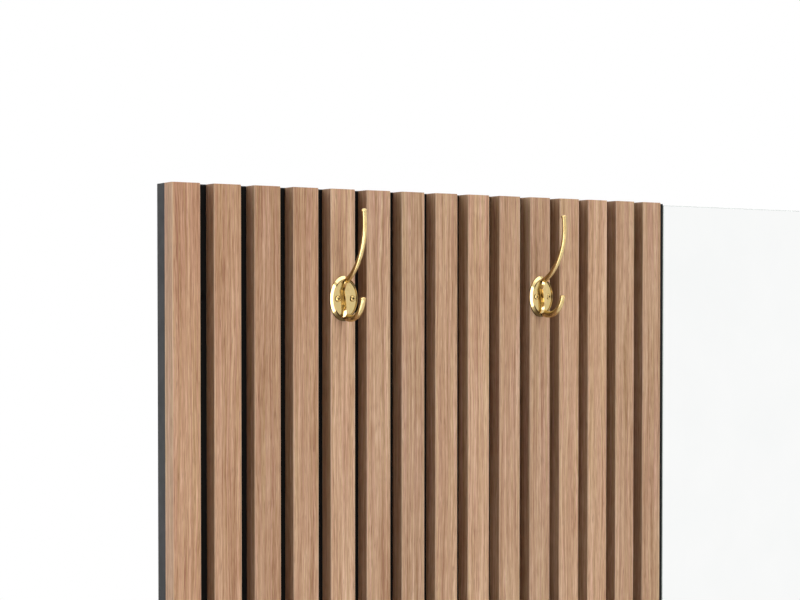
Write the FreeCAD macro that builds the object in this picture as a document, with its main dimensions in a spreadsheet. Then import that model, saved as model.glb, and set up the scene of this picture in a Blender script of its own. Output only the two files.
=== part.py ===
import FreeCAD, Part
import math
import os

import Sketcher

# Wall panel of upright slats with two double coat hooks and a mirror at its right.
# X runs to the right, Y into the wall and Z up. The wall plane is Y = 0, X = 0 is the
# middle slat and Z = 0 is half the panel's height.

SLAT_COUNT = 15
HOOK_SLATS = {"hook_left": 5, "hook_right": 11}
SLAT_SCREW_ROWS = 4
TAPE_COUNT = 4
PLATE_NAMES = ("joining_plate_lower", "joining_plate_middle", "joining_plate_upper")
PLATE_HOLES = 4

# Lengths in millimetres
LENGTHS = {
    "panel_height": 1200,
    "slat_width": 27,
    "slat_gap": 13,
    "slat_depth": 16,
    "slat_edge_radius": 1.2,
    "board_thickness": 16,
    "board_right_margin": 19,
    "edge_band_thickness": 1,
    "wall_hole_diameter": 5.5,
    "wall_hole_sink": 10.5,
    "wall_hole_end_distance": 100,
    "slat_screw_diameter": 3.5,
    "slat_screw_head": 7,
    "slat_screw_length": 25,
    "slat_screw_end_distance": 50,
    "screw_tip_length": 3,
    "screw_clearance": 0.1,
    "pilot_overrun": 0.5,
    "hook_drop": 103,
    "hook_plate_width": 27,
    "hook_plate_height": 42.4,
    "hook_plate_edge": 1.4,
    "hook_rim_height": 4.8,
    "hook_rim_side": 2.1,
    "hook_rim_end": 3.8,
    "hook_rim_crest": 0.2,
    "hook_floor_height": 3.6,
    "hook_floor_slope": 0.2,
    "hook_rib_length": 37,
    "hook_rib_head": 3.2,
    "hook_rib_shoulder": 8.4,
    "hook_rib_shoulder_rise": 8.5,
    "hook_rib_waist": 4.2,
    "hook_rib_waist_drop": 6,
    "hook_rib_flare": 9,
    "hook_rib_brow": 6,
    "hook_rib_height": 8.4,
    "upper_bend_radius": 60.4,
    "upper_bend_reach": 38.2,
    "upper_bend_height": 69.9,
    "upper_root_width": 3.4,
    "upper_root_depth": 6.4,
    "upper_waist_width": 4.3,
    "upper_waist_depth": 5.2,
    "upper_tip_width": 4.4,
    "upper_tip_depth": 4.4,
    "upper_bead_radius": 2.8,
    "upper_bead_length": 4,
    "lower_bend_radius": 21.4,
    "lower_bend_reach": 35.4,
    "lower_bend_height": 3,
    "lower_root_width": 3.8,
    "lower_root_depth": 8.4,
    "lower_waist_width": 5.4,
    "lower_waist_depth": 5.6,
    "lower_tip_width": 5,
    "lower_tip_depth": 5.2,
    "lower_bead_radius": 2.9,
    "lower_bead_length": 3.6,
    "hook_screw_offset": 7.9,
    "hook_screw_diameter": 3.5,
    "hook_screw_head": 5.8,
    "hook_screw_head_edge": 0.8,
    "hook_screw_head_height": 2,
    "hook_screw_length": 15,
    "mirror_width": 400,
    "mirror_end_inset": 1.5,
    "mirror_seam": 1,
    "glass_thickness": 3,
    "glass_bevel": 0.6,
    "tape_thickness": 1,
    "tape_width": 25,
    "tape_end_inset": 20,
    "tape_side_inset": 30,
    "carrier_inset": 25,
    "plate_length": 130,
    "plate_width": 30,
    "plate_thickness": 2,
    "plate_hole_spacing": 34,
    "plate_spacing": 366,
    "plate_clearance": 0.2,
    "joining_screw_diameter": 3,
    "joining_screw_head": 5.6,
    "joining_screw_length": 9,
}

# Angles in degrees: a prong's ends are measured downward from the level line through its bend's centre
ANGLES = {
    "upper_root_angle": 66,
    "upper_tip_angle": -11,
    "lower_root_angle": 120,
    "lower_tip_angle": 7,
    "countersink_angle": 90,
}

# The rib's outline at its foot, its brow and its crest, as shares of the foot's length and of the foot's widths
# at the flare, the waist, the shoulder and the head
RIB_LENGTH_SHARES = (1, 0.95, 0.85)
RIB_WIDTH_SHARES = (
    (1, 1, 1, 1),
    (0.8, 0.92, 0.92, 0.8),
    (0.3, 0.8, 0.8, 0.3),
)

# Where a prong's middle section lies along its bend, counted from the tip
UPPER_WAIST_SHARE = 0.6
LOWER_WAIST_SHARE = 0.5

doc = FreeCAD.newDocument("coat_rack")
sheet = doc.addObject("Spreadsheet::Sheet", "sizes")


class Size:
    """A number that keeps the sheet formula it comes from, so that both stay in step."""

    def __init__(self, number, formula):
        self.number = number
        self.formula = formula

    def __add__(self, other):
        return Size(self.number + other.number, f"({self.formula} + {other.formula})")

    def __sub__(self, other):
        return Size(self.number - other.number, f"({self.formula} - {other.formula})")

    def __neg__(self):
        return Size(-self.number, f"(0 - {self.formula})")

    def __mul__(self, other):
        if isinstance(other, Size):
            return Size(self.number * other.number, f"({self.formula} * {other.formula})")
        return Size(self.number * other, f"({self.formula} * ({other}))")

    def __truediv__(self, divisor):
        return Size(self.number / divisor, f"({self.formula} / {divisor})")


def sine(angle):
    return Size(math.sin(math.radians(angle.number)), f"sin({angle.formula})")


def cosine(angle):
    return Size(math.cos(math.radians(angle.number)), f"cos({angle.formula})")


class Sizes:
    """The sheet's cells by name."""

    def __init__(self, values):
        for row, (name, number) in enumerate(values.items(), start=1):
            sheet.set(f"A{row}", name)
            sheet.set(f"B{row}", str(number))
            sheet.setAlias(f"B{row}", name)
            setattr(self, name, Size(number, f"sizes.{name}"))


s = Sizes({**LENGTHS, **ANGLES})
doc.recompute()

ZERO = Size(0, "0")
slat_pitch = s.slat_width + s.slat_gap
slats_half_width = slat_pitch * (SLAT_COUNT - 1) / 2 + s.slat_width / 2
board_left = -slats_half_width
board_right = slats_half_width + s.board_right_margin
panel_top = s.panel_height / 2
panel_bottom = -panel_top
slat_front = s.board_thickness + s.slat_depth
hook_height = panel_top - s.hook_drop
mirror_left = board_right + s.mirror_seam
mirror_right = mirror_left + s.mirror_width
carrier_right = mirror_right - s.carrier_inset
carrier_thickness = s.board_thickness - s.tape_thickness - s.glass_thickness
slat_screw_span = s.panel_height - s.slat_screw_end_distance * 2
plate_row_span = s.plate_spacing * (len(PLATE_NAMES) - 1)
plate_hole_span = s.plate_hole_spacing * (PLATE_HOLES - 1)


# Helpers for bodies, sketches and features

def bind(item, prop, size):
    item.setExpression(prop, size.formula)


def new_body(label, x=ZERO, y=ZERO, z=ZERO):
    body = doc.addObject("PartDesign::Body", label)
    body.Label = label
    body.AllowCompound = True
    for axis, size in (("x", x), ("y", y), ("z", z)):
        bind(body, f"Placement.Base.{axis}", size)
    return body


def origin_feature(body, role):
    return next(item for item in body.Origin.OriginFeatures if item.Role == role)


def new_sketch(body, role, offset=ZERO):
    """A sketch on one of the body's own planes, moved along that plane's normal."""
    sketch = body.newObject("Sketcher::SketchObject", f"{body.Name}_sketch")
    sketch.AttachmentSupport = [(origin_feature(body, role), "")]
    sketch.MapMode = "FlatFace"
    bind(sketch, "AttachmentOffset.Base.z", offset)
    return sketch


def constrain(sketch, size, kind, *where):
    index = sketch.addConstraint(Sketcher.Constraint(kind, *where, size.number))
    sketch.setExpression(f"Constraints[{index}]", size.formula)


def place_point(sketch, geometry, end, point):
    """Dimension one point of a line or arc from the sketch's origin."""
    constrain(sketch, point[0], "DistanceX", -1, 1, geometry, end)
    constrain(sketch, point[1], "DistanceY", -1, 1, geometry, end)


def vector(point):
    return FreeCAD.Vector(point[0].number, point[1].number, 0)


def join_ends(sketch, first, second):
    sketch.addConstraint(Sketcher.Constraint("Coincident", first, 2, second, 1))


def draw_polygon(sketch, points):
    """A closed outline of straight lines."""
    ends = points[1:] + points[:1]
    lines = [sketch.addGeometry(Part.LineSegment(vector(a), vector(b))) for a, b in zip(points, ends)]
    for line, after in zip(lines, lines[1:] + lines[:1]):
        join_ends(sketch, line, after)
    for line, point in zip(lines, points):
        place_point(sketch, line, 1, point)


def draw_rectangle(sketch, left, right, bottom, top):
    draw_polygon(sketch, [(left, bottom), (right, bottom), (right, top), (left, top)])


def draw_circles(sketch, centres, radius):
    for centre in centres:
        circle = sketch.addGeometry(Part.Circle(vector(centre), FreeCAD.Vector(0, 0, 1), radius.number))
        constrain(sketch, radius, "Radius", circle)
        place_point(sketch, circle, 3, centre)


def draw_oval(sketch, half_width, half_height):
    """An ellipse about the sketch's origin, with its axes level and upright."""
    upright = half_height.number >= half_width.number
    top = FreeCAD.Vector(0, half_height.number, 0)
    side = FreeCAD.Vector(-half_width.number, 0, 0)
    vertices = (top, side) if upright else (side, -top)
    oval = sketch.addGeometry(Part.Ellipse(*vertices, FreeCAD.Vector(0, 0, 0)))
    sketch.exposeInternalGeometry(oval)
    long_axis = oval + 1
    short_axis = oval + 2
    sketch.addConstraint(Sketcher.Constraint("Coincident", oval, 3, -1, 1))
    sketch.addConstraint(Sketcher.Constraint("Vertical" if upright else "Horizontal", long_axis))
    constrain(sketch, (half_height if upright else half_width) * 2, "Distance", long_axis)
    constrain(sketch, (half_width if upright else half_height) * 2, "Distance", short_axis)


def pad(body, sketch, length, symmetric=False):
    feature = body.newObject("PartDesign::Pad", f"{body.Name}_pad")
    feature.Profile = sketch
    feature.SideType = "Symmetric" if symmetric else "One side"
    bind(feature, "Length", length)
    return feature


def pocket(body, sketch, depth, along_normal=False):
    """A cut from the sketch's plane, against its normal unless told otherwise."""
    feature = body.newObject("PartDesign::Pocket", f"{body.Name}_pocket")
    feature.Profile = sketch
    feature.Reversed = along_normal
    bind(feature, "Length", depth)
    return feature


def countersunk_hole(body, sketch, diameter, sink_diameter, along_normal=False):
    """A through hole with a countersink on the sketch's side."""
    doc.recompute()
    feature = body.newObject("PartDesign::Hole", f"{body.Name}_hole")
    feature.Profile = sketch
    feature.DepthType = "ThroughAll"
    feature.HoleCutType = "Countersink"
    feature.HoleCutCustomValues = True
    feature.Reversed = along_normal
    bind(feature, "Diameter", diameter)
    bind(feature, "HoleCutDiameter", sink_diameter)
    bind(feature, "HoleCutCountersinkAngle", s.countersink_angle)
    return feature


def revolve(body, sketch):
    """A full turn about the sketch's upright axis."""
    feature = body.newObject("PartDesign::Revolution", f"{body.Name}_revolution")
    feature.Profile = sketch
    feature.ReferenceAxis = (sketch, ["V_Axis"])
    feature.Angle = 360
    return feature


def pattern(body, feature, role, span, count, second_role=None, second_span=None, second_count=1):
    """Copies of a feature in a row, or in rows and columns."""
    copies = body.newObject("PartDesign::LinearPattern", f"{body.Name}_pattern")
    copies.Originals = [feature]
    copies.Direction = (origin_feature(body, role), [""])
    copies.Occurrences = count
    bind(copies, "Length", span)
    if second_role:
        copies.Direction2 = (origin_feature(body, second_role), [""])
        copies.Occurrences2 = second_count
        bind(copies, "Length2", second_span)
    body.Tip = copies
    return copies


def countersunk_screw(body, diameter, head, length):
    """A wood screw whose head lies flush in the plane Y = 0 of its body and whose point looks to the front."""
    sketch = new_sketch(body, "XY_Plane")
    shank = diameter / 2
    head_depth = (head - diameter) / 2
    draw_polygon(sketch, [
        (ZERO, ZERO),
        (ZERO, -length),
        (shank, s.screw_tip_length - length),
        (shank, -head_depth),
        (head / 2, ZERO),
    ])
    return revolve(body, sketch)


# Board with its edging

def backing_board():
    body = new_body("backing_board")
    band = s.edge_band_thickness
    sketch = new_sketch(body, "XZ_Plane")
    draw_rectangle(sketch, board_left + band, board_right - band, panel_bottom + band, panel_top - band)
    pad(body, sketch, s.board_thickness)

    # Wall fixings lie in the first and the last gap between the slats
    sketch = new_sketch(body, "XZ_Plane", s.board_thickness)
    draw_circles(sketch, wall_hole_places(), s.wall_hole_diameter / 2)
    countersunk_hole(body, sketch, s.wall_hole_diameter, s.wall_hole_sink)

    sketch = new_sketch(body, "XZ_Plane")
    first_slat = slat_pitch * (1 - SLAT_COUNT) / 2
    clear_diameter = s.slat_screw_diameter + s.screw_clearance
    draw_circles(sketch, [(first_slat, -slat_screw_span / 2)], clear_diameter / 2)
    hole = countersunk_hole(body, sketch, clear_diameter, s.slat_screw_head + s.screw_clearance, True)
    pattern(body, hole, "X_Axis", slat_pitch * (SLAT_COUNT - 1), SLAT_COUNT,
            "Z_Axis", slat_screw_span, SLAT_SCREW_ROWS)
    plate_recesses(body, board_right - s.plate_length / 2 - s.plate_clearance, board_right - band)
    plate_pilots(body, -1)
    return body


def wall_hole_places():
    across = slat_pitch * (SLAT_COUNT - 2) / 2
    up = panel_top - s.wall_hole_end_distance
    return [(x, z) for x in (-across, across) for z in (-up, up)]


def plate_recesses(body, left, right):
    """Shallow recesses for the joining plates on a back."""
    half_width = s.plate_width / 2 + s.plate_clearance
    first_row = -plate_row_span / 2
    sketch = new_sketch(body, "XZ_Plane")
    draw_rectangle(sketch, left, right, first_row - half_width, first_row + half_width)
    recess = pocket(body, sketch, s.plate_thickness, True)
    pattern(body, recess, "Z_Axis", plate_row_span, len(PLATE_NAMES))


def plate_pilots(body, side):
    """Pilot holes for the joining screws on one side of the seam: -1 is left of it and 1 right."""
    places = []
    for step in range(PLATE_HOLES // 2):
        distance = s.plate_hole_spacing * (step + 0.5)
        places.append((board_right + distance * side, -plate_row_span / 2))
    sketch = new_sketch(body, "XZ_Plane", s.plate_thickness)
    draw_circles(sketch, places, (s.joining_screw_diameter + s.screw_clearance) / 2)
    pilots = pocket(body, sketch, s.joining_screw_length - s.plate_thickness + s.pilot_overrun, True)
    pattern(body, pilots, "Z_Axis", plate_row_span, len(PLATE_NAMES))


def edge_band(label, left, right, bottom, top):
    body = new_body(label)
    sketch = new_sketch(body, "XZ_Plane")
    draw_rectangle(sketch, left, right, bottom, top)
    pad(body, sketch, s.board_thickness)
    return body


def edge_bands():
    band = s.edge_band_thickness
    inner_left = board_left + band
    inner_right = board_right - band
    right_band = edge_band("edge_band_right", inner_right, board_right, panel_bottom, panel_top)
    plate_recesses(right_band, inner_right, board_right)
    return [
        edge_band("edge_band_left", board_left, inner_left, panel_bottom, panel_top),
        right_band,
        edge_band("edge_band_top", inner_left, inner_right, panel_top - band, panel_top),
        edge_band("edge_band_bottom", inner_left, inner_right, panel_bottom, panel_bottom + band),
    ]


# Slats

def slat_place(number):
    return slat_pitch * (number - (SLAT_COUNT + 1) / 2)


def slat(number):
    label = f"slat_{number:02d}"
    body = new_body(label, slat_place(number), -s.board_thickness)
    sketch = new_sketch(body, "XY_Plane")
    half = s.slat_width / 2
    draw_rectangle(sketch, -half, half, -s.slat_depth, ZERO)
    block = pad(body, sketch, s.panel_height, symmetric=True)
    doc.recompute()
    round_front_edges(body, block)

    sketch = new_sketch(body, "XZ_Plane")
    draw_circles(sketch, [(ZERO, -slat_screw_span / 2)], (s.slat_screw_diameter + s.screw_clearance) / 2)
    depth = s.slat_screw_length - s.board_thickness + s.pilot_overrun
    pilot = pocket(body, sketch, depth, True)
    pattern(body, pilot, "Z_Axis", slat_screw_span, SLAT_SCREW_ROWS)

    if number in HOOK_SLATS.values():
        sketch = new_sketch(body, "XZ_Plane", s.slat_depth)
        places = [(-s.hook_screw_offset, hook_height), (s.hook_screw_offset, hook_height)]
        draw_circles(sketch, places, (s.hook_screw_diameter + s.screw_clearance) / 2)
        pocket(body, sketch, s.hook_screw_length - s.hook_floor_height + s.pilot_overrun)
    return body


def round_front_edges(body, block):
    """Round the two upright edges at the slat's front."""
    front = -s.slat_depth.number
    names = []
    for index, edge in enumerate(block.Shape.Edges, start=1):
        middle = edge.CenterOfMass
        upright = abs(edge.tangentAt(edge.FirstParameter).z) > 0.5
        if upright and abs(middle.y - front) < s.slat_edge_radius.number:
            names.append(f"Edge{index}")
    feature = body.newObject("PartDesign::Fillet", f"{body.Name}_fillet")
    feature.Base = (block, names)
    bind(feature, "Radius", s.slat_edge_radius)
    return feature


def slat_screws():
    body = new_body("slat_screws", slat_place(1), ZERO, -slat_screw_span / 2)
    screw = countersunk_screw(body, s.slat_screw_diameter, s.slat_screw_head, s.slat_screw_length)
    pattern(body, screw, "X_Axis", slat_pitch * (SLAT_COUNT - 1), SLAT_COUNT,
            "Z_Axis", slat_screw_span, SLAT_SCREW_ROWS)
    return body


# Double coat hooks

def hook(label):
    body = new_body(label, slat_place(HOOK_SLATS[label]), -slat_front, hook_height)
    hook_plate(body)
    hook_rib(body)
    upper_prong(body)
    lower_prong(body)
    sketch = new_sketch(body, "XZ_Plane", s.hook_rim_height)
    places = [(-s.hook_screw_offset, ZERO), (s.hook_screw_offset, ZERO)]
    draw_circles(sketch, places, (s.hook_screw_diameter + s.screw_clearance) / 2)
    pocket(body, sketch, s.hook_rim_height)
    return body


def oval_sketch(body, offset, side_inset, end_inset):
    sketch = new_sketch(body, "XZ_Plane", offset)
    draw_oval(sketch, s.hook_plate_width / 2 - side_inset, s.hook_plate_height / 2 - end_inset)
    return sketch


def loft(body, kind, first, *others):
    feature = body.newObject(f"PartDesign::{kind}", f"{body.Name}_loft")
    feature.Profile = first
    feature.Sections = list(others)
    feature.Ruled = True
    return feature


def hook_plate(body):
    """Oval plate with an upright edge, a bevelled rim and a sunk field."""
    pad(body, oval_sketch(body, ZERO, ZERO, ZERO), s.hook_plate_edge)
    side = s.hook_rim_side
    end = s.hook_rim_end
    loft(body, "AdditiveLoft",
         oval_sketch(body, s.hook_plate_edge, ZERO, ZERO),
         oval_sketch(body, s.hook_rim_height, side, end))
    side = side + s.hook_rim_crest
    end = end + s.hook_rim_crest
    loft(body, "SubtractiveLoft",
         oval_sketch(body, s.hook_rim_height, side, end),
         oval_sketch(body, s.hook_floor_height, side + s.hook_floor_slope, end + s.hook_floor_slope))


def rib_sketch(body, offset, length_share, width_shares):
    """The rib's outline at one level: a flare at its lower end, a waist, broad shoulders and a narrow head."""
    half_length = s.hook_rib_length / 2
    widths = (s.hook_rib_flare, s.hook_rib_waist, s.hook_rib_shoulder, s.hook_rib_head)
    heights = (-half_length, -s.hook_rib_waist_drop, s.hook_rib_shoulder_rise, half_length)
    right = []
    for width, height, width_share in zip(widths, heights, width_shares):
        right.append((width / 2 * width_share, height * length_share))
    left = [(-x, z) for x, z in reversed(right)]
    sketch = new_sketch(body, "XZ_Plane", offset)
    draw_polygon(sketch, right + left)
    return sketch


def hook_rib(body):
    """Waisted rib over the plate's field, which joins the roots of the two prongs."""
    levels = (s.hook_plate_edge, s.hook_rib_brow, s.hook_rib_height)
    outlines = zip(levels, RIB_LENGTH_SHARES, RIB_WIDTH_SHARES)
    loft(body, "AdditiveLoft", *(rib_sketch(body, *outline) for outline in outlines))


def prong_point(centre, radius, angle):
    return (centre[0] - radius * cosine(angle), centre[1] - radius * sine(angle))


def prong_path(body, centre, radius, root_angle, tip_angle):
    """The arc that a prong follows in the hook's middle plane, drawn from its tip to its root."""
    sketch = new_sketch(body, "YZ_Plane")
    circle = Part.Circle(vector(centre), FreeCAD.Vector(0, 0, 1), radius.number)
    angles = [math.pi + math.radians(angle.number) for angle in (tip_angle, root_angle)]
    arc = sketch.addGeometry(Part.ArcOfCircle(circle, *angles))
    place_point(sketch, arc, 3, centre)
    constrain(sketch, radius, "Radius", arc)
    for end, angle in ((1, tip_angle), (2, root_angle)):
        constrain(sketch, prong_point(centre, radius, angle)[1], "DistanceY", -1, 1, arc, end)
    return sketch


def prong_section(body, path, share, width, depth):
    """An oval section square to the path, at a share of its length from the tip."""
    sketch = body.newObject("Sketcher::SketchObject", f"{body.Name}_section")
    sketch.AttachmentSupport = [(path, "Edge1")]
    sketch.MapMode = "NormalToEdge"
    sketch.MapPathParameter = share
    draw_oval(sketch, width / 2, depth / 2)
    return sketch


def prong(body, centre, radius, root_angle, tip_angle, sections):
    """A tapering bar along an arc; each section is a share of the way, a width and a depth."""
    path = prong_path(body, centre, radius, root_angle, tip_angle)
    doc.recompute()
    ovals = [prong_section(body, path, *section) for section in sections]
    feature = body.newObject("PartDesign::AdditivePipe", f"{body.Name}_pipe")
    feature.Profile = ovals[0]
    feature.Spine = (path, ["Edge1"])
    feature.Transformation = "Multisection"
    feature.Sections = [(oval, [""]) for oval in ovals[1:]]
    return feature


def bead(body, place, radius, length):
    """A rounded button on a prong's tip."""
    feature = body.newObject("PartDesign::AdditiveEllipsoid", f"{body.Name}_bead")
    feature.AttachmentSupport = [(origin_feature(body, "XY_Plane"), "")]
    feature.MapMode = "FlatFace"
    bind(feature, "AttachmentOffset.Base.y", place[0])
    bind(feature, "AttachmentOffset.Base.z", place[1])
    bind(feature, "Radius1", length / 2)
    bind(feature, "Radius2", radius)
    bind(feature, "Radius3", radius)
    return feature


def upper_prong(body):
    """Long prong that leans out from the plate's top and bends to the upright."""
    radius = s.upper_bend_radius
    centre = (radius - s.upper_bend_reach, s.upper_bend_height)
    prong(body, centre, radius, s.upper_root_angle, s.upper_tip_angle, [
        (0, s.upper_tip_width, s.upper_tip_depth),
        (UPPER_WAIST_SHARE, s.upper_waist_width, s.upper_waist_depth),
        (1, s.upper_root_width, s.upper_root_depth),
    ])
    bead(body, prong_point(centre, radius, s.upper_tip_angle), s.upper_bead_radius, s.upper_bead_length)


def lower_prong(body):
    """Short hook that leaves the plate's foot and curls up."""
    radius = s.lower_bend_radius
    centre = (radius - s.lower_bend_reach, s.lower_bend_height)
    prong(body, centre, radius, s.lower_root_angle, s.lower_tip_angle, [
        (0, s.lower_tip_width, s.lower_tip_depth),
        (LOWER_WAIST_SHARE, s.lower_waist_width, s.lower_waist_depth),
        (1, s.lower_root_width, s.lower_root_depth),
    ])
    bead(body, prong_point(centre, radius, s.lower_tip_angle), s.lower_bead_radius, s.lower_bead_length)


def hook_screws():
    """Pan-head screws, two to a hook, with their heads on the plates' fields."""
    left, right = (slat_place(number) for number in HOOK_SLATS.values())
    body = new_body("hook_screws", left - s.hook_screw_offset, -(slat_front + s.hook_floor_height), hook_height)
    sketch = new_sketch(body, "XY_Plane")
    head = s.hook_screw_head / 2
    shank = s.hook_screw_diameter / 2
    length = s.hook_screw_length
    draw_polygon(sketch, [
        (ZERO, -s.hook_screw_head_height),
        (head / 2, -s.hook_screw_head_height),
        (head, -s.hook_screw_head_edge),
        (head, ZERO),
        (shank, ZERO),
        (shank, length - s.screw_tip_length),
        (ZERO, length),
    ])
    screw = revolve(body, sketch)
    pattern(body, screw, "X_Axis", s.hook_screw_offset * 2, 2, "X_Axis", right - left, len(HOOK_SLATS))
    return body


# Mirror and its carrier

def mirror_glass():
    body = new_body("mirror_glass", ZERO, s.glass_thickness - s.board_thickness)
    sketch = new_sketch(body, "XZ_Plane")
    top = panel_top - s.mirror_end_inset
    draw_rectangle(sketch, mirror_left, mirror_right, -top, top)
    sheet_glass = pad(body, sketch, s.glass_thickness)
    doc.recompute()
    faces = enumerate(sheet_glass.Shape.Faces, start=1)
    front = min(faces, key=lambda item: item[1].CenterOfMass.y)
    feature = body.newObject("PartDesign::Chamfer", "glass_bevel_cut")
    feature.Base = (sheet_glass, [f"Face{front[0]}"])
    bind(feature, "Size", s.glass_bevel)
    return body


def mirror_carrier():
    body = new_body("mirror_carrier")
    sketch = new_sketch(body, "XZ_Plane")
    top = panel_top - s.mirror_end_inset - s.carrier_inset
    draw_rectangle(sketch, board_right, carrier_right, -top, top)
    pad(body, sketch, carrier_thickness)
    plate_recesses(body, board_right, board_right + s.plate_length / 2 + s.plate_clearance)
    plate_pilots(body, 1)
    return body


def mirror_tape():
    body = new_body("mirror_tape", ZERO, -carrier_thickness)
    sketch = new_sketch(body, "XZ_Plane")
    top = panel_top - s.mirror_end_inset - s.carrier_inset - s.tape_end_inset
    first = board_right + s.tape_side_inset
    last = carrier_right - s.tape_side_inset - s.tape_width
    draw_rectangle(sketch, first, first + s.tape_width, -top, top)
    strip = pad(body, sketch, s.tape_thickness)
    pattern(body, strip, "X_Axis", last - first, TAPE_COUNT)
    return body


def joining_plates():
    plates = []
    for index, label in enumerate(PLATE_NAMES):
        height = s.plate_spacing * index - plate_row_span / 2
        body = new_body(label, board_right, ZERO, height)
        sketch = new_sketch(body, "XZ_Plane")
        half_length = s.plate_length / 2
        half_width = s.plate_width / 2
        draw_rectangle(sketch, -half_length, half_length, -half_width, half_width)
        pad(body, sketch, s.plate_thickness)
        sketch = new_sketch(body, "XZ_Plane")
        diameter = s.joining_screw_diameter + s.screw_clearance
        draw_circles(sketch, [(-plate_hole_span / 2, ZERO)], diameter / 2)
        hole = countersunk_hole(body, sketch, diameter, s.joining_screw_head + s.screw_clearance, True)
        pattern(body, hole, "X_Axis", plate_hole_span, PLATE_HOLES)
        plates.append(body)
    return plates


def joining_screws():
    body = new_body("joining_screws", board_right - plate_hole_span / 2, ZERO, -plate_row_span / 2)
    screw = countersunk_screw(body, s.joining_screw_diameter, s.joining_screw_head, s.joining_screw_length)
    pattern(body, screw, "X_Axis", plate_hole_span, PLATE_HOLES, "Z_Axis", plate_row_span, len(PLATE_NAMES))
    return body


# Build, check and write

bodies = [backing_board(), *edge_bands()]
bodies += [slat(number) for number in range(1, SLAT_COUNT + 1)]
bodies += [slat_screws(), *(hook(label) for label in HOOK_SLATS), hook_screws()]
bodies += [mirror_glass(), mirror_carrier(), mirror_tape(), *joining_plates(), joining_screws()]
doc.recompute()

for item in doc.Objects:
    if "Invalid" in item.State or "Error" in item.State:
        raise RuntimeError(f"{item.Label} did not build")
for body in bodies:
    if body.Shape.isNull() or not body.Shape.isValid():
        raise RuntimeError(f"{body.Label} has no valid shape")

os.makedirs("parts", exist_ok=True)
for body in bodies:
    body.Shape.exportStep(f"parts/{body.Label}.step")
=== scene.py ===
import math

import bmesh
import bpy
from mathutils import Matrix, Vector


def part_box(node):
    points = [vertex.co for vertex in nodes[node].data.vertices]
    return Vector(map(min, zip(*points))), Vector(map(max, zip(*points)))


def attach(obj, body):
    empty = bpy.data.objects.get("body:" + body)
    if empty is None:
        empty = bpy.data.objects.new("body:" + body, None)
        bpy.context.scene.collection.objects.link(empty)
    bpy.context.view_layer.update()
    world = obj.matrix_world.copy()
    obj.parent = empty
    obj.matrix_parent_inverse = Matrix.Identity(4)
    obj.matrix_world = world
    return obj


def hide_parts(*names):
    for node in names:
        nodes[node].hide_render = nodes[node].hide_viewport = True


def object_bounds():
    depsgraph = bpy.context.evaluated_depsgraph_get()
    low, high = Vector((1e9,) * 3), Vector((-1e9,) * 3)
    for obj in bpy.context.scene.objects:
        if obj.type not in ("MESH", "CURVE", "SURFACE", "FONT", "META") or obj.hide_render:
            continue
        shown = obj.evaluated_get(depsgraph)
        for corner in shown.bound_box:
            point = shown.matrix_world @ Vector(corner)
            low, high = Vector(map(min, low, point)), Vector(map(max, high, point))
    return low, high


# Looks of the slatted coat panel with two brass hooks and a mirror. Metres, unless a comment says
# millimetres; X to the right, Y into the wall, Z up, as in the solids.

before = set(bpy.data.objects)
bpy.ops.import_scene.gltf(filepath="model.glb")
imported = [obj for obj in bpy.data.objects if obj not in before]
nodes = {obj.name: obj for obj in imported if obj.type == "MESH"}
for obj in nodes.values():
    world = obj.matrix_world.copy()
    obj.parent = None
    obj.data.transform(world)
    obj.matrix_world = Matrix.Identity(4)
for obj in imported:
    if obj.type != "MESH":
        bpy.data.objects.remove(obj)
cad_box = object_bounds()

MILLIMETRE = 0.001
WHITE = (1.0, 1.0, 1.0, 1.0)

# Steps of the golden share never repeat, so they set the slats' grain and the screws' turns apart
GOLDEN_SHARE = 0.618034

# The two sides of the part in Y
FRONT = -1
BACK = 1


# Sizes of the solids, in millimetres

def middle(box):
    return (box[0] + box[1]) / 2


first_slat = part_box("slat_01")
SLAT_PITCH = (middle(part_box("slat_02")).x - middle(first_slat).x) / MILLIMETRE
SLAT_HALF_WIDTH = (first_slat[1].x - first_slat[0].x) / 2 / MILLIMETRE
SLAT_FRONT = first_slat[0].y / MILLIMETRE

# How far a plate's sunk field, its rim and the rib's crest stand off the slat
HOOK_FIELD_HEIGHT = 3.6
PLATE_RIM_HEIGHT = 4.8
HOOK_CREST_HEIGHT = 8.4

# The plate of a hook, and how far it stands out past the slat's width on each side
PLATE_HALF_WIDTH = (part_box("hook_left")[1].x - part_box("hook_left")[0].x) / 2 / MILLIMETRE
PLATE_HALF_HEIGHT = 21.2
PLATE_OVERHANG = 1.4
HOOK_LEVEL = middle(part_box("hook_screws")).z / MILLIMETRE


# Node helpers

# Most of a noise lies between these two values
NOISE_RANGE = (0.3, 0.7)


def colour(red, green, blue):
    """A colour written as 0 to 255 display values, as the linear values that shaders take."""
    def linear(value):
        share = value / 255
        return share / 12.92 if share <= 0.04045 else ((share + 0.055) / 1.055) ** 2.4
    return (linear(red), linear(green), linear(blue), 1.0)


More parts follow.
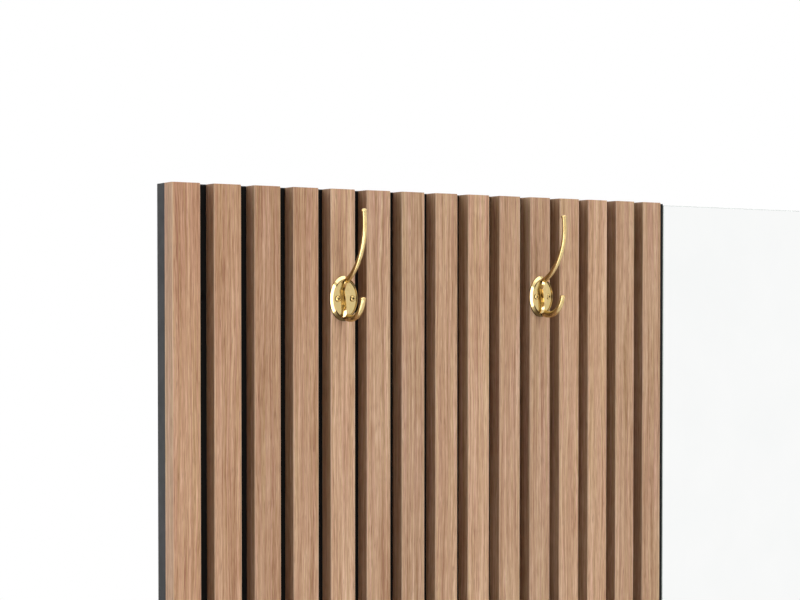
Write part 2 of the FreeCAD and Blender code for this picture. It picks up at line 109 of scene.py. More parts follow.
class Tree:
    """Short calls for the nodes of one tree. A value is either a socket or a constant."""

    def __init__(self, tree):
        self.tree = tree

    def feed(self, socket, value):
        if isinstance(value, bpy.types.NodeSocket):
            self.tree.links.new(value, socket)
        else:
            socket.default_value = value

    def add(self, kind, inputs=None, **settings):
        node = self.tree.nodes.new(kind)
        for name, value in settings.items():
            setattr(node, name, value)
        for key, value in (inputs or {}).items():
            self.feed(node.inputs[key], value)
        return node

    def math(self, operation, first, second=0.0):
        return self.add("ShaderNodeMath", {0: first, 1: second}, operation=operation).outputs[0]

    def chain(self, operation, first, *others):
        """One operation that takes in several values in turn."""
        for other in others:
            first = self.math(operation, first, other)
        return first

    def total(self, *values):
        return self.chain("ADD", *values)

    def product(self, *values):
        return self.chain("MULTIPLY", *values)

    def largest(self, *values):
        return self.chain("MAXIMUM", *values)

    def between(self, value, low, high, to_low=0.0, to_high=1.0):
        """The value's way from low to high, as a smooth step, written from to_low to to_high."""
        inputs = {"Value": value, "From Min": low, "From Max": high, "To Min": to_low, "To Max": to_high}
        return self.add("ShaderNodeMapRange", inputs, interpolation_type="SMOOTHSTEP").outputs["Result"]

    def spread(self, noise, to_low, to_high):
        """A noise written as the values from to_low to to_high."""
        return self.between(noise, *NOISE_RANGE, to_low, to_high)

    def noise(self, vector, scale=1.0, detail=2.0, roughness=0.5):
        inputs = {"Vector": vector, "Scale": scale, "Detail": detail, "Roughness": roughness}
        return self.add("ShaderNodeTexNoise", inputs).outputs["Fac"]

    def mix(self, factor, first, second, blend="MIX"):
        """Two colours mixed. The node has sockets for all kinds of values, and these are the colours'."""
        node = self.add("ShaderNodeMix", data_type="RGBA", blend_type=blend)
        self.feed(node.inputs[0], factor)
        self.feed(node.inputs[6], first)
        self.feed(node.inputs[7], second)
        return node.outputs[2]

    def ramp(self, value, stops):
        node = self.add("ShaderNodeValToRGB", {"Fac": value})
        elements = node.color_ramp.elements
        for (place, tint), element in zip(stops, elements):
            element.position = place
            element.color = tint
        for place, tint in stops[2:]:
            elements.new(place).color = tint
        return node.outputs["Color"]

    def shades(self, noise, dark, light):
        """A noise written as the shades between two colours."""
        return self.ramp(noise, list(zip(NOISE_RANGE, (dark, light))))

    def place(self):
        """The point on the object, which is the point in the row frame at rest."""
        return self.add("ShaderNodeTexCoord").outputs["Object"]

    def millimetres(self):
        """The point on the object in millimetres, in three parts."""
        inputs = {0: self.place(), "Scale": 1 / MILLIMETRE}
        return self.parts(self.add("ShaderNodeVectorMath", inputs, operation="SCALE").outputs[0])

    def parts(self, vector):
        node = self.add("ShaderNodeSeparateXYZ", {0: vector})
        return node.outputs[0], node.outputs[1], node.outputs[2]

    def joined(self, x, y, z):
        return self.add("ShaderNodeCombineXYZ", {0: x, 1: y, 2: z}).outputs[0]

    def length(self, vector):
        return self.add("ShaderNodeVectorMath", {0: vector}, operation="LENGTH").outputs["Value"]

    def dot(self, first, second):
        inputs = {0: first, 1: second}
        return self.add("ShaderNodeVectorMath", inputs, operation="DOT_PRODUCT").outputs["Value"]

    def normal(self):
        """The surface's own direction."""
        return self.add("ShaderNodeNewGeometry").outputs["Normal"]

    def bump(self, height, strength, distance):
        inputs = {"Height": height, "Strength": strength, "Distance": distance}
        return self.add("ShaderNodeBump", inputs).outputs["Normal"]


def new_material(name):
    material = bpy.data.materials.new(name)
    material.use_nodes = True
    tree = Tree(material.node_tree)
    return material, tree, material.node_tree.nodes["Principled BSDF"]


def finish_shader(tree, shader, **inputs):
    for name, value in inputs.items():
        tree.feed(shader.inputs[name.replace("_", " ")], value)


def slat_and_offset(tree, x):
    """The number of the slat at x, counted from the middle one, and how far x is from its middle."""
    number = tree.math("ROUND", tree.math("DIVIDE", x, SLAT_PITCH))
    return number, tree.math("SUBTRACT", x, tree.product(number, SLAT_PITCH))


def upright_noise(tree, across_scale, along_scale, detail, roughness):
    """Noise drawn out along Z, with its scales in turns per millimetre."""
    x, y, z = tree.millimetres()
    vector = tree.joined(
        tree.product(x, across_scale),
        tree.product(y, across_scale),
        tree.product(z, along_scale),
    )
    return tree.noise(vector, detail=detail, roughness=roughness)


# Wood. Here and further down, a pair of numbers says where a mask is 0 and where it is 1

# Each slat's grain starts at its own place in the noise: a shift in slats, a start in whole turns,
# and the reach of one turn in millimetres
SEED_SHIFT = 0.5
SEED_START = 20.0
SEED_SPREAD = 4000

# How far the lines of grain wander, in millimetres, and what each kind of line gives to the tone
DRIFT_REACH = 12
STREAK_SHARE = 0.42
FIBRE_SHARE = 0.34
BAND_SHARE = 0.24
STREAK_RELIEF = 0.5
PORE_LEVELS = (0.57, 0.7)
PORE_SHARE = 0.5
TAN_LEVELS = (0.36, 0.64)

# The rhythm in which the slats are lighter and darker, in turns from slat to slat
SHADE_TURN = 0.26
SHADE_START = -0.22
SHADE_SWING = 0.07
SHADE_MEAN = 1.035

# Painted light: the fronts of the first slats at the left keep a warmer colour, while the other fronts,
# told by the slat's number from the middle, and all sides, told by the way they face, are painted paler
# and cooler, as if in more light
PAINTED_LIGHT_SLATS = (-5.5, -2.5)
PAINTED_LIGHT_SIDES = (0.6, 0.9)
PAINTED_LIGHT_TINT = (1.06, 1.14, 1.2, 1.0)

# Front edges that are lighter, partly from wear by rubbing and partly a painted highlight, and the core
# inside the thin decor, in millimetres from the slat's sides and front, and the way that a cut end faces
WEAR_AND_HIGHLIGHT_FROM_SIDE = (1.1, 0.3)
WEAR_AND_HIGHLIGHT_FROM_FRONT = (1.4, 0.3)
WEAR_AND_HIGHLIGHT_SHARE = 0.4
CUT_FACING = (0.6, 0.8)
INSIDE_DECOR = (0.35, 0.5)


def slat_wood():
    """Straight-grained wood decor with its own run of grain on each slat, and fibreboard at the ends."""
    material, tree, shader = new_material("slat_wood_decor")
    x, y, z = tree.millimetres()
    number, across = slat_and_offset(tree, x)
    from_side = tree.math("SUBTRACT", SLAT_HALF_WIDTH, tree.math("ABSOLUTE", across))
    from_front = tree.math("SUBTRACT", y, SLAT_FRONT)
    facing = tree.parts(tree.normal())

    # The decor wraps round the front, so the grain runs on from the sides to the front
    turn = tree.product(tree.total(number, SEED_SHIFT), GOLDEN_SHARE)
    seed = tree.product(tree.math("FRACT", tree.total(turn, SEED_START)), SEED_SPREAD)
    round_edge = tree.product(tree.math("SIGN", across), from_front)
    girth = tree.total(across, round_edge, seed)

    def grain(place, across_scale, along_scale, layer, detail=2.0, roughness=0.5):
        """Noise drawn out along the slat, with its scales in turns per millimetre."""
        vector = tree.joined(tree.product(place, across_scale), layer, tree.product(z, along_scale))
        return tree.noise(vector, detail=detail, roughness=roughness)

    drift = tree.product(grain(girth, across_scale=0.05, along_scale=0.004, layer=0.0), DRIFT_REACH)
    line = tree.total(girth, drift)
    bands = grain(line, across_scale=0.2, along_scale=0.0025, layer=3.0)
    streaks = grain(line, across_scale=0.6, along_scale=0.0065, layer=5.0, detail=3.0, roughness=0.65)
    fibres = grain(line, across_scale=1.6, along_scale=0.045, layer=7.0, roughness=0.6)
    pores = tree.between(grain(line, across_scale=1.5, along_scale=0.06, layer=9.0), *PORE_LEVELS)
    warmth = grain(line, across_scale=0.7, along_scale=0.004, layer=11.0, detail=3.0, roughness=0.6)

    tone = tree.total(
        tree.product(streaks, STREAK_SHARE),
        tree.product(fibres, FIBRE_SHARE),
        tree.product(bands, BAND_SHARE),
    )
    red = tree.ramp(tone, [
        (0.41, colour(154, 106, 82)),
        (0.47, colour(178, 131, 104)),
        (0.53, colour(192, 147, 121)),
        (0.59, colour(208, 167, 142)),
    ])
    tan = tree.ramp(tone, [
        (0.41, colour(154, 113, 78)),
        (0.47, colour(178, 139, 101)),
        (0.53, colour(192, 155, 117)),
        (0.59, colour(208, 175, 138)),
    ])
    plain = tree.mix(tree.between(warmth, *TAN_LEVELS), red, tan)
    with_pores = tree.mix(tree.product(pores, PORE_SHARE), plain, colour(118, 80, 56))

    # Each slat is a little lighter or darker than the next, and the fronts at the left are warmer, as the
    # paler sides and other fronts are painted light
    rhythm = tree.total(tree.product(number, SHADE_TURN), SHADE_START)
    swing = tree.math("COSINE", tree.product(rhythm, math.tau))
    shade = tree.total(tree.product(swing, SHADE_SWING), SHADE_MEAN)
    shaded = tree.mix(1.0, with_pores, tree.joined(shade, shade, shade), "MULTIPLY")
    # Painted light: the sides and the fronts away from the left are made paler and cooler
    on_side = tree.between(tree.math("ABSOLUTE", facing[0]), *PAINTED_LIGHT_SIDES)
    pale = tree.largest(tree.between(number, *PAINTED_LIGHT_SLATS), on_side)
    tinted = tree.mix(1.0, shaded, tree.mix(pale, WHITE, PAINTED_LIGHT_TINT), "MULTIPLY")

    # Front edges are lighter: partly wear from rubbing, partly a painted highlight where the rounded edges
    # catch the light
    edge = tree.between(from_side, *WEAR_AND_HIGHLIGHT_FROM_SIDE)
    rubbing_and_highlight = tree.product(edge, tree.between(from_front, *WEAR_AND_HIGHLIGHT_FROM_FRONT), WEAR_AND_HIGHLIGHT_SHARE)
    wear_and_highlight = tree.mix(rubbing_and_highlight, tinted, colour(234, 206, 178))

    # Cut ends show the fibreboard core inside the thin decor
    cut = tree.between(tree.math("ABSOLUTE", facing[2]), *CUT_FACING)
    inside = tree.product(tree.between(from_side, *INSIDE_DECOR), tree.between(from_front, *INSIDE_DECOR))
    chips = tree.noise(tree.place(), scale=2600.0, detail=3.0, roughness=0.7)
    core = tree.shades(chips, colour(126, 96, 70), colour(176, 143, 110))

    relief = tree.math("SUBTRACT", tree.product(streaks, STREAK_RELIEF), pores)
    finish_shader(
        tree, shader,
        Base_Color=tree.mix(tree.product(cut, inside), wear_and_highlight, core),
        Roughness=tree.spread(streaks, 0.46, 0.58),
        Specular_IOR_Level=0.22,
        Normal=tree.bump(relief, strength=0.12, distance=0.0003),
    )
    return material


# Board and edging

def black_board():
    """Matt black melamine with a fine pressed grain."""
    material, tree, shader = new_material("black_melamine")
    place = tree.place()
    pressed = tree.noise(place, scale=1800.0, detail=3.0, roughness=0.6)
    clouds = tree.noise(place, scale=7.0, detail=3.0, roughness=0.6)
    finish_shader(
        tree, shader,
        Base_Color=tree.shades(clouds, colour(9, 8, 7), colour(19, 18, 16)),
        Roughness=tree.spread(pressed, 0.48, 0.62),
        Specular_IOR_Level=0.1,
        Normal=tree.bump(pressed, strength=0.15, distance=0.0002),
    )
    return material


def black_edging():
    """Black edging strip, a little greyer and smoother than the board."""
    material, tree, shader = new_material("black_edging_strip")
    brushed = upright_noise(tree, across_scale=2.0, along_scale=0.05, detail=3.0, roughness=0.6)
    clouds = tree.noise(tree.place(), scale=60.0, detail=3.0)
    finish_shader(
        tree, shader,
        Base_Color=tree.shades(brushed, colour(31, 31, 32), colour(42, 42, 43)),
        Roughness=tree.spread(clouds, 0.46, 0.58),
        Specular_IOR_Level=0.25,
        Normal=tree.bump(brushed, strength=0.06, distance=0.0002),
    )
    return material


# Brass

# The sunk field: how flat it faces the front, and how far from its level it ends, in millimetres
FIELD_FACING = (-0.96, -0.99)
FIELD_OFF_LEVEL = (0.4, 0.2)
FIELD_SHARE = 0.8

# The rim and the painted dark reflection, a line on its outer slope: shares of the plate's size,
# millimetres off the slat, and how far the slope faces outward
RIM_INNER_EDGE = (0.76, 0.8)
RIM_TOP = (5.6, 5.0)
LINE_OUTER_EDGE = (0.94, 0.9)
LINE_FOOT = (3.6, 3.9)
LINE_SLOPE = (0.2, 0.4)
LINE_SHARE = 0.85

# The rib's flanks and the start of the prongs: a share of the plate's size, and millimetres off the
# slat and above the screws
RIB_END = (0.7, 0.6)
RIB_FOOT = (HOOK_FIELD_HEIGHT + 0.2, HOOK_FIELD_HEIGHT + 1.0)
RIB_TOP = (HOOK_CREST_HEIGHT - 0.6, HOOK_CREST_HEIGHT - 2.0)
RIB_WAIST = 2.5
WAIST_REACH = (13.0, 3.0)
PRONG_START = (HOOK_CREST_HEIGHT + 0.6, HOOK_CREST_HEIGHT + 2.2)

# Painted shade in corners and painted dark reflections elsewhere: how sheltered a corner is, within some
# millimetres, which way the other places face, and how strong it is in each place
SHELTER_REACH = 4
SHELTER_RAYS = 8
SHELTER = (0.72, 0.42)
FLANK_FACING = (0.5, 0.95)
UNDER_FACING = (-0.3, -0.55)
PRONG_FACING = (0.6, 0.95)
CORNER_PAINTED_SHADE = 0.9
FLANK_PAINTED_REFLECTION = 0.82
UNDER_PAINTED_REFLECTION = 0.9
PRONG_PAINTED_REFLECTION = 0.4

# Faint clouds in the colour, marks from buffing, and how much rougher the field and the prongs are
CLOUD_RANGE = (0.32, 0.68)
MARK_RANGE = (0.3, 0.72)
FIELD_DULLNESS = 0.04
PRONG_DULLNESS = 0.13


class HookMasks:
    """Masks for the places on a hook, from where a point lies on it and which way it faces."""

    def __init__(self, tree):
        self.tree = tree
        x, y, z = tree.millimetres()
        across = slat_and_offset(tree, x)[1]
        along = tree.math("SUBTRACT", z, HOOK_LEVEL)
        outward = tree.joined(
            tree.math("DIVIDE", across, PLATE_HALF_WIDTH + PLATE_OVERHANG),
            0.0,
            tree.math("DIVIDE", along, PLATE_HALF_HEIGHT),
        )
        normal = tree.normal()
        facing_x, self.facing_y, self.facing_z = tree.parts(normal)
        self.sideways = tree.math("ABSOLUTE", facing_x)
        self.height = tree.math("SUBTRACT", SLAT_FRONT, y)
        self.off_waist = tree.math("ABSOLUTE", tree.math("SUBTRACT", along, RIB_WAIST))
        self.out = tree.length(outward)
        self.slope = tree.dot(outward, normal)
        self.rim = tree.product(
            tree.between(self.out, *RIM_INNER_EDGE),
            tree.between(self.height, *RIM_TOP),
        )
        self.prongs = tree.between(self.height, *PRONG_START)

    def field(self):
        """The flat sunk field between the rim and the rib."""
        tree = self.tree
        off_level = tree.math("ABSOLUTE", tree.math("SUBTRACT", self.height, HOOK_FIELD_HEIGHT))
        flat = tree.between(self.facing_y, *FIELD_FACING)
        return tree.product(flat, tree.between(off_level, *FIELD_OFF_LEVEL))

    def painted_rim_reflection(self):
        """A painted dark reflection: a line along the top of the rim's outer slope."""
        tree = self.tree
        inside = tree.between(self.out, *LINE_OUTER_EDGE)
        above = tree.between(self.height, *LINE_FOOT)
        return tree.product(self.rim, inside, above, tree.between(self.slope, *LINE_SLOPE), LINE_SHARE)

    def painted_shade_and_reflections(self):
        """Painted shade in sheltered corners, and painted dark reflections on the rib's flanks, under the
        rim and on the prongs' sides.
        """
        tree = self.tree
        inputs = {"Distance": SHELTER_REACH * MILLIMETRE}
        open_share = tree.add("ShaderNodeAmbientOcclusion", inputs, samples=SHELTER_RAYS).outputs["AO"]
        corner = tree.product(tree.between(open_share, *SHELTER), CORNER_PAINTED_SHADE)
        rib = tree.product(
            tree.between(self.out, *RIB_END),
            tree.between(self.height, *RIB_FOOT),
            tree.between(self.height, *RIB_TOP),
            tree.between(self.off_waist, *WAIST_REACH),
        )
        flank = tree.product(rib, tree.between(self.sideways, *FLANK_FACING), FLANK_PAINTED_REFLECTION)
        under = tree.product(self.rim, tree.between(self.facing_z, *UNDER_FACING), UNDER_PAINTED_REFLECTION)
        prong = tree.product(self.prongs, tree.between(self.sideways, *PRONG_FACING), PRONG_PAINTED_REFLECTION)
        return tree.largest(corner, flank, under, prong)


def brass(name, bright, dull, low_roughness, high_roughness):
    """Polished brass with marks from buffing, a plain field, satin prongs, a painted dark reflection along
    the rim, and painted shade and dark reflections.
    """
    material, tree, shader = new_material(name)
    clouds = tree.noise(tree.place(), scale=160.0, detail=3.0, roughness=0.6)
    marks = upright_noise(tree, across_scale=3.0, along_scale=0.6, detail=4.0, roughness=0.65)
    masks = HookMasks(tree)
    field = masks.field()
    clean = tree.ramp(clouds, list(zip(CLOUD_RANGE, (dull, bright))))
    aged = tree.mix(tree.product(field, FIELD_SHARE), clean, colour(210, 186, 128))
    # A painted dark reflection along the top of the rim's outer slope
    lined = tree.mix(masks.painted_rim_reflection(), aged, colour(80, 64, 36))
    finish_shader(
        tree, shader,
        # The base colour takes painted shade in corners and painted dark reflections on the rib's flanks,
        # under the rim and on the prongs' sides
        Base_Color=tree.mix(masks.painted_shade_and_reflections(), lined, colour(70, 49, 21)),
        Metallic=1.0,
        Roughness=tree.total(
            tree.between(marks, *MARK_RANGE, low_roughness, high_roughness),
            tree.product(field, FIELD_DULLNESS),
            tree.product(masks.prongs, PRONG_DULLNESS),
        ),
        Normal=tree.bump(marks, strength=0.03, distance=0.0002),
    )
    return material


# Mirror, tape and zinc

# Which way the glass faces at its front and at its back
GLASS_FRONT = (-0.5, -0.9)
GLASS_BACK = (0.5, 0.9)
GLASS_EDGE_ROUGHNESS = 0.28
GLASS_PAINT_ROUGHNESS = 0.25


def mirror_silver():
    """Silvered front, greenish ground edges and a grey painted back."""
    material, tree, shader = new_material("mirror_glass_silver")
    facing_y = tree.parts(tree.normal())[1]
    front = tree.between(facing_y, *GLASS_FRONT)
    back = tree.between(facing_y, *GLASS_BACK)
    place = tree.place()
    haze = tree.noise(place, scale=9.0, detail=3.0, roughness=0.6)
    grit = tree.noise(place, scale=900.0)
    clouds = tree.noise(place, scale=30.0, detail=4.0)
    silver = tree.shades(haze, (0.925, 0.935, 0.93, 1.0), (0.95, 0.955, 0.95, 1.0))
    ground = tree.shades(grit, colour(120, 150, 138), colour(176, 199, 188))
    paint = tree.shades(clouds, colour(112, 116, 120), colour(126, 130, 134))
    rough = tree.total(tree.product(back, GLASS_PAINT_ROUGHNESS), GLASS_EDGE_ROUGHNESS)
    finish_shader(
        tree, shader,
        Base_Color=tree.mix(front, tree.mix(back, ground, paint), silver),
        Metallic=front,
        Roughness=tree.product(rough, tree.math("SUBTRACT", 1.0, front)),
    )
    return material


def foam_tape():
    """White foam tape with a fine open grain."""
    material, tree, shader = new_material("white_foam_tape")
    cells = tree.noise(tree.place(), scale=2200.0)
    finish_shader(
        tree, shader,
        Base_Color=tree.shades(cells, colour(206, 206, 202), colour(236, 236, 233)),
        Roughness=0.9,
        Normal=tree.bump(cells, strength=0.3, distance=0.0002),
    )
    return material


def zinc(name, low_roughness, high_roughness):
    """Zinc-plated steel with faint crystals."""
    material, tree, shader = new_material(name)
    place = tree.place()
    crystals = tree.add("ShaderNodeTexVoronoi", {"Vector": place, "Scale": 420.0})
    cell = tree.parts(crystals.outputs["Color"])[0]
    clouds = tree.noise(place, scale=90.0, detail=3.0)
    finish_shader(
        tree, shader,
        Base_Color=tree.mix(clouds, colour(158, 162, 166), colour(192, 194, 196)),
        Metallic=1.0,
        Roughness=tree.between(cell, 0.0, 1.0, low_roughness, high_roughness),
        Normal=tree.bump(clouds, strength=0.05, distance=0.0003),
    )
    return material


# Finishes of the solids

finishes = {
    "slat_wood": slat_wood(),
    "black_board": black_board(),
    "black_edging": black_edging(),
    "polished_brass": brass(
        "polished_brass_cast",
        bright=colour(224, 198, 143),
        dull=colour(211, 183, 126),
        low_roughness=0.06,
        high_roughness=0.14,
    ),
    "brass_screw": brass(
        "brass_screw_plated",
        bright=colour(220, 192, 131),
        dull=colour(204, 174, 114),
        low_roughness=0.12,
        high_roughness=0.22,
    ),
    "mirror_silver": mirror_silver(),
    "mounting_tape": foam_tape(),
    "zinc_plate": zinc("zinc_plated_sheet", low_roughness=0.28, high_roughness=0.5),
    "zinc_screw": zinc("zinc_plated_screw", low_roughness=0.22, high_roughness=0.36),
}


def dress(node):
    """Give a node its finish in place of the plain one, which has the name of its slot."""
    finish = finishes[node.data.materials[0].name]
    for slot in node.material_slots:
        slot.link = "OBJECT"
        slot.material = finish


for part in nodes.values():
    dress(part)


def stand_in(piece_name, node_name, mesh):
    """A piece of the scene's own in place of a node."""
    piece = bpy.data.objects.new(piece_name, mesh)
    bpy.context.scene.collection.objects.link(piece)
    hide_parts(node_name)
    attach(piece, "root")


# Screws, in millimetres

# Profiles of the heads, as radius and depth below the head's top
PAN_HEAD = ((0.9, 0.02), (1.6, 0.15), (2.2, 0.48), (2.6, 0.9), (2.85, 1.35), (2.9, 1.65), (2.9, 2.0))
SLAT_SCREW_HEAD = ((3.4, 0.0), (3.5, 0.1))
JOINING_SCREW_HEAD = ((2.7, 0.0), (2.8, 0.1))

# The flat in the middle of a head as a share of its first radius, and the tip, with its radius as a
# share of the shank's
HEAD_FLAT_SHARE = 0.5
TIP_SHARE = 0.125
TIP_LENGTH = 3.0

# The cross slot: half the width of its arms and its foot as shares of its reach, and its start above
# the head as a share of its depth
SLOT_WIDTH_SHARE = 0.27
SLOT_FOOT_SHARE = 0.4
SLOT_START_SHARE = 0.25

# Sides of the turned parts, the angle from which an edge is sharp, how near to the furthest point a
# head's top lies, and how far apart two points of one head can be
ROUND_SIDES = 28
SHARP_ANGLE = math.radians(33)
TOP_REACH = 0.1
HEAD_REACH = 9


def ring(radius, level):
    """Points round the Z axis at one level."""
    angles = [math.tau * index / ROUND_SIDES for index in range(ROUND_SIDES)]
    return [(radius * math.cos(angle), radius * math.sin(angle), level) for angle in angles]


def skin(name, loops):
    """A closed skin through loops of points, with flat ends."""
    maker = bmesh.new()
    rows = [[maker.verts.new(point) for point in loop] for loop in loops]
    for upper, lower in zip(rows, rows[1:]):
        for index in range(len(upper)):
            maker.faces.new((upper[index - 1], upper[index], lower[index], lower[index - 1]))
    maker.faces.new(rows[0])
    maker.faces.new(rows[-1])
    bmesh.ops.recalc_face_normals(maker, faces=maker.faces)
    mesh = bpy.data.meshes.new(name)
    maker.to_mesh(mesh)
    maker.free()
    return mesh


def cross(reach, level):
    """Outline of a cross slot at one level."""
    half = reach * SLOT_WIDTH_SHARE
    corner = [(reach, -half), (reach, half), (half, half)]
    quarters = [Matrix.Rotation(math.radians(90) * turn, 2) for turn in range(4)]
    return [(*(quarter @ Vector(point)), level) for quarter in quarters for point in corner]


def screw_mesh(name, head, countersunk, shank, length, slot_reach, slot_depth):
    """A turned screw with a cross slot. Its axis is Z and its head's top is at Z = 0."""
    rim_radius, rim_depth = head[-1]
    neck = (rim_depth + rim_radius - shank) if countersunk else rim_depth
    turned = [ring(head[0][0] * HEAD_FLAT_SHARE, 0.0)]
    turned += [ring(radius, -depth) for radius, depth in head]
    turned += [ring(shank, -neck), ring(shank, TIP_LENGTH - length), ring(shank * TIP_SHARE, -length)]
    blank = bpy.data.objects.new(name, skin(name, turned))
    slot = [
        cross(slot_reach, slot_depth * SLOT_START_SHARE),
        cross(slot_reach * SLOT_FOOT_SHARE, -slot_depth),
    ]
    cutter = bpy.data.objects.new(name + "_slot", skin(name + "_slot", slot))
    for item in (blank, cutter):
        bpy.context.scene.collection.objects.link(item)
    cut = blank.modifiers.new("slot", "BOOLEAN")
    cut.operation = "DIFFERENCE"
    cut.solver = "EXACT"
    cut.object = cutter
    ready = blank.evaluated_get(bpy.context.evaluated_depsgraph_get())
    mesh = bpy.data.meshes.new_from_object(ready)
    for item in (blank, cutter):
        data = item.data
        bpy.data.objects.remove(item)
        bpy.data.meshes.remove(data)
    mesh.transform(Matrix.Scale(MILLIMETRE, 4))
    return mesh


def head_places(node_name, side):
    """The middles of the tops of a node's screw heads, which lie furthest to one side in Y."""
    low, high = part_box(node_name)
    level = low.y if side == FRONT else high.y
    groups = []
    for vertex in nodes[node_name].data.vertices:
        if abs(vertex.co.y - level) > TOP_REACH * MILLIMETRE:
            continue
        for group in groups:
            if (group[0] - vertex.co).length < HEAD_REACH * MILLIMETRE:
                group.append(vertex.co.copy())
                break
        else:
            groups.append([vertex.co.copy()])
    return [Vector([(min(axis) + max(axis)) / 2 for axis in zip(*group)]) for group in groups]


def set_screws(piece_name, node_name, slot_name, side, mesh):
    """One piece with a screw at each place of a node's screws, each turned as it happened to stop."""
    maker = bmesh.new()
    face = Matrix.Rotation(math.radians(-90 * side), 4, "X")
    for index, place in enumerate(head_places(node_name, side)):
        turn = Matrix.Rotation(math.tau * GOLDEN_SHARE * index, 4, "Z")
        copy = mesh.copy()
        copy.transform(Matrix.Translation(place) @ face @ turn)
        maker.from_mesh(copy)
        bpy.data.meshes.remove(copy)
    joined = bpy.data.meshes.new(piece_name)
    maker.to_mesh(joined)
    maker.free()
    bpy.data.meshes.remove(mesh)
    joined.shade_smooth()
    joined.set_sharp_from_angle(angle=SHARP_ANGLE)
    joined.materials.append(finishes[slot_name])
    stand_in(piece_name, node_name, joined)


hook_screw_places = sorted(head_places("hook_screws", FRONT), key=lambda place: place.x)
hook_screw = screw_mesh(
    "hook_screw", PAN_HEAD, countersunk=False,
    shank=1.75, length=17.0, slot_reach=1.7, slot_depth=1.3,
)
slat_screw = screw_mesh(
    "slat_screw", SLAT_SCREW_HEAD, countersunk=True,
    shank=1.75, length=25.0, slot_reach=2.0, slot_depth=1.7,
)
joining_screw = screw_mesh(
    "joining_screw", JOINING_SCREW_HEAD, countersunk=True,
    shank=1.5, length=9.0, slot_reach=1.6, slot_depth=1.3,
)
set_screws("hook_screws_cross_slot", "hook_screws", "brass_screw", FRONT, hook_screw)
set_screws("slat_screws_cross_slot", "slat_screws", "zinc_screw", BACK, slat_screw)
set_screws("joining_screws_cross_slot", "joining_screws", "zinc_screw", BACK, joining_screw)


# Hooks

# The plate is drawn out from the screws to the rim, as shares of its size, and no higher than the
# rim's top, in millimetres off the slat
DRAWN_OUT = (0.58, 0.84)
DRAWN_UP_TO = (PLATE_RIM_HEIGHT + 2, PLATE_RIM_HEIGHT + 0.2)


def smooth_step(value, low, high):
    share = min(max((value - low) / (high - low), 0.0), 1.0)
    return share * share * (3 - 2 * share)


def broad_hook(node_name):
    """A hook whose plate is drawn out at its sides, past the edges of its slat."""
    mesh = nodes[node_name].data.copy()
    centre = middle(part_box(node_name)).x
    for vertex in mesh.vertices:
        height = SLAT_FRONT - vertex.co.y / MILLIMETRE
        across = (vertex.co.x - centre) / MILLIMETRE
        along = vertex.co.z / MILLIMETRE - HOOK_LEVEL
        out = math.hypot(across / PLATE_HALF_WIDTH, along / PLATE_HALF_HEIGHT)
        drawn = smooth_step(out, *DRAWN_OUT) * smooth_step(height, *DRAWN_UP_TO)
        if drawn > 0:
            vertex.co.x += drawn * PLATE_OVERHANG * MILLIMETRE * across / PLATE_HALF_WIDTH / out
    mesh.materials[0] = finishes["polished_brass"]
    stand_in(node_name + "_broad", node_name, mesh)


for hook_name in ("hook_left", "hook_right"):
    broad_hook(hook_name)


# Floor and light

# A narrow key from the front, a little to the right, almost nothing beside it, and a fill from behind
KEY_LIGHT = 4.8
BESIDE_KEY_LIGHT = 0.04
FAR_RIGHT_SHARE = 0.04
BACK_LEFT_LIGHT = 1.3
BACK_RIGHT_LIGHT = 0.85
BACKDROP_LIGHT = 1.0

# Where the key and the fill begin and end, as directions in X and in Y
KEY_LEFT_EDGE = (-0.1, 0.12)
KEY_RIGHT_EDGE = (0.14, 0.5)
BACK_EDGE = (-0.15, 0.35)

# The floor, and how far out it fades to the backdrop
FLOOR_REACH = 30.0
FLOOR_FADE = (1.2, 2.8)

# The right hook's plate shows a softbox by way of the rib's left flank. The place is beside the rib,
# in millimetres from the middle of the two screw heads, and flank and plate face these ways
BESIDE_RIB = (-4.8, 2.0, 0.0)
RIB_FLANK = (-0.985, -0.09, -0.14)
PLATE_FIELD = (0.0, -1.0, 0.0)
RIB_SOFTBOX_DISTANCE = 0.6


def backdrop_rays(tree):
    """1 for the rays that see the backdrop itself, straight, in metal or through glass."""
    path = tree.add("ShaderNodeLightPath").outputs
    return tree.largest(path["Is Camera Ray"], path["Is Glossy Ray"], path["Is Transmission Ray"])


def mixed_shader(tree, factor, first, second):
    return tree.add("ShaderNodeMixShader", {0: factor, 1: first, 2: second}).outputs[0]


def floor():
    """Pale floor that shows the shadow near the part and fades to the white backdrop further out."""
    level = cad_box[0].z
    sides = [(-1, -1), (1, -1), (1, 1), (-1, 1)]
    corners = [(x * FLOOR_REACH, y * FLOOR_REACH, level) for x, y in sides]
    mesh = bpy.data.meshes.new("floor")
    mesh.from_pydata(corners, [], [(0, 1, 2, 3)])
    plane = bpy.data.objects.new("floor", mesh)
    bpy.context.scene.collection.objects.link(plane)
    material, tree, shader = new_material("pale_floor")
    finish_shader(tree, shader, Base_Color=(0.93, 0.93, 0.93, 1.0), Roughness=0.9, Specular_IOR_Level=0.0)
    white = tree.add("ShaderNodeEmission", {"Color": WHITE, "Strength": BACKDROP_LIGHT}).outputs[0]
    far = tree.between(tree.length(tree.place()), *FLOOR_FADE)
    seen = tree.product(far, backdrop_rays(tree))
    surface = material.node_tree.nodes["Material Output"].inputs["Surface"]
    tree.feed(surface, mixed_shader(tree, seen, shader.outputs[0], white))
    mesh.materials.append(material)


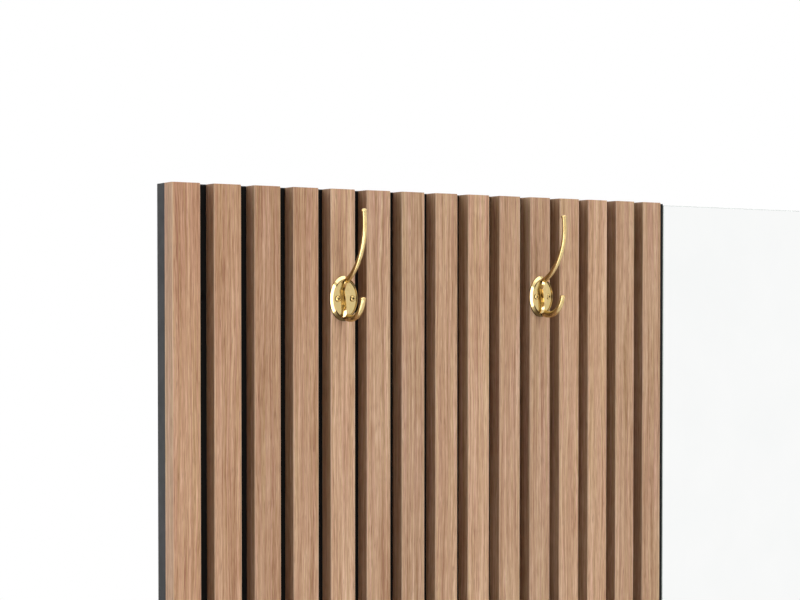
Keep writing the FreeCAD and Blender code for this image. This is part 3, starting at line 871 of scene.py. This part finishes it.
def studio_world():
    """The studio's light, and the white backdrop for the rays that see it."""
    world = bpy.data.worlds.new("studio")
    world.use_nodes = True
    bpy.context.scene.world = world
    tree = Tree(world.node_tree)
    x, y = tree.parts(tree.add("ShaderNodeTexCoord").outputs["Generated"])[:2]
    right = tree.between(x, *KEY_LEFT_EDGE)
    back = tree.between(y, *BACK_EDGE)
    key = tree.product(right, tree.between(x, *KEY_RIGHT_EDGE, 1.0, FAR_RIGHT_SHARE))
    front_light = tree.between(key, 0.0, 1.0, BESIDE_KEY_LIGHT, KEY_LIGHT)
    back_light = tree.between(right, 0.0, 1.0, BACK_LEFT_LIGHT, BACK_RIGHT_LIGHT)
    from_front = tree.product(front_light, tree.math("SUBTRACT", 1.0, back))
    light = world.node_tree.nodes["Background"]
    tree.feed(light.inputs["Color"], WHITE)
    tree.feed(light.inputs["Strength"], tree.total(from_front, tree.product(back_light, back)))
    backdrop = tree.add("ShaderNodeBackground", {"Color": WHITE, "Strength": BACKDROP_LIGHT}).outputs[0]
    surface = world.node_tree.nodes["World Output"].inputs["Surface"]
    tree.feed(surface, mixed_shader(tree, backdrop_rays(tree), light.outputs[0], backdrop))


def softbox(name, place, target, width, height, power):
    """A lamp that only shows as a highlight in metal and glass; the world gives the even light."""
    data = bpy.data.lights.new(name, "AREA")
    data.shape = "RECTANGLE"
    data.size = width
    data.size_y = height
    data.energy = power
    item = bpy.data.objects.new(name, data)
    item.location = place
    item.rotation_euler = (Vector(target) - Vector(place)).to_track_quat("-Z", "Y").to_euler()
    item.visible_camera = False
    item.visible_diffuse = False
    bpy.context.scene.collection.objects.link(item)


def mirrored(way, facing):
    """The way that a ray takes after a flat mirror that faces a given way."""
    normal = Vector(facing).normalized()
    return way - 2 * way.dot(normal) * normal


# Camera of the photograph

CAMERA_PLACE = (-0.7683, -1.0992, 0.5169)
CAMERA_TILT = math.radians(-0.974)
CAMERA_TURN = math.radians(-33.732)
CAMERA_LENS = 59.65
CAMERA_SENSOR = 36


def camera():
    data = bpy.data.cameras.new("camera")
    data.sensor_width = CAMERA_SENSOR
    data.lens = CAMERA_LENS
    item = bpy.data.objects.new("camera", data)
    item.location = CAMERA_PLACE
    item.rotation_euler = (math.radians(90) + CAMERA_TILT, 0, CAMERA_TURN)
    bpy.context.scene.collection.objects.link(item)
    bpy.context.scene.camera = item


# Scene

bpy.context.scene.view_settings.view_transform = "Standard"
floor()
studio_world()
softbox(
    "side_softbox",
    place=(-0.95, -0.18, 0.5),
    target=(-0.12, -0.04, 0.5),
    width=0.5,
    height=1.7,
    power=10,
)
softbox(
    "top_softbox",
    place=(0.0, -0.3, 1.9),
    target=(0.0, -0.04, 0.5),
    width=1.8,
    height=0.6,
    power=6.3,
)
left_head, right_head = hook_screw_places[2:]
beside_rib = (left_head + right_head) / 2 + Vector(BESIDE_RIB) * MILLIMETRE
view = (beside_rib - Vector(CAMERA_PLACE)).normalized()
by_flank = mirrored(mirrored(view, RIB_FLANK), PLATE_FIELD)
softbox(
    "right_hook_softbox",
    place=beside_rib + by_flank * RIB_SOFTBOX_DISTANCE,
    target=beside_rib,
    width=0.2,
    height=0.22,
    power=0.4,
)
camera()
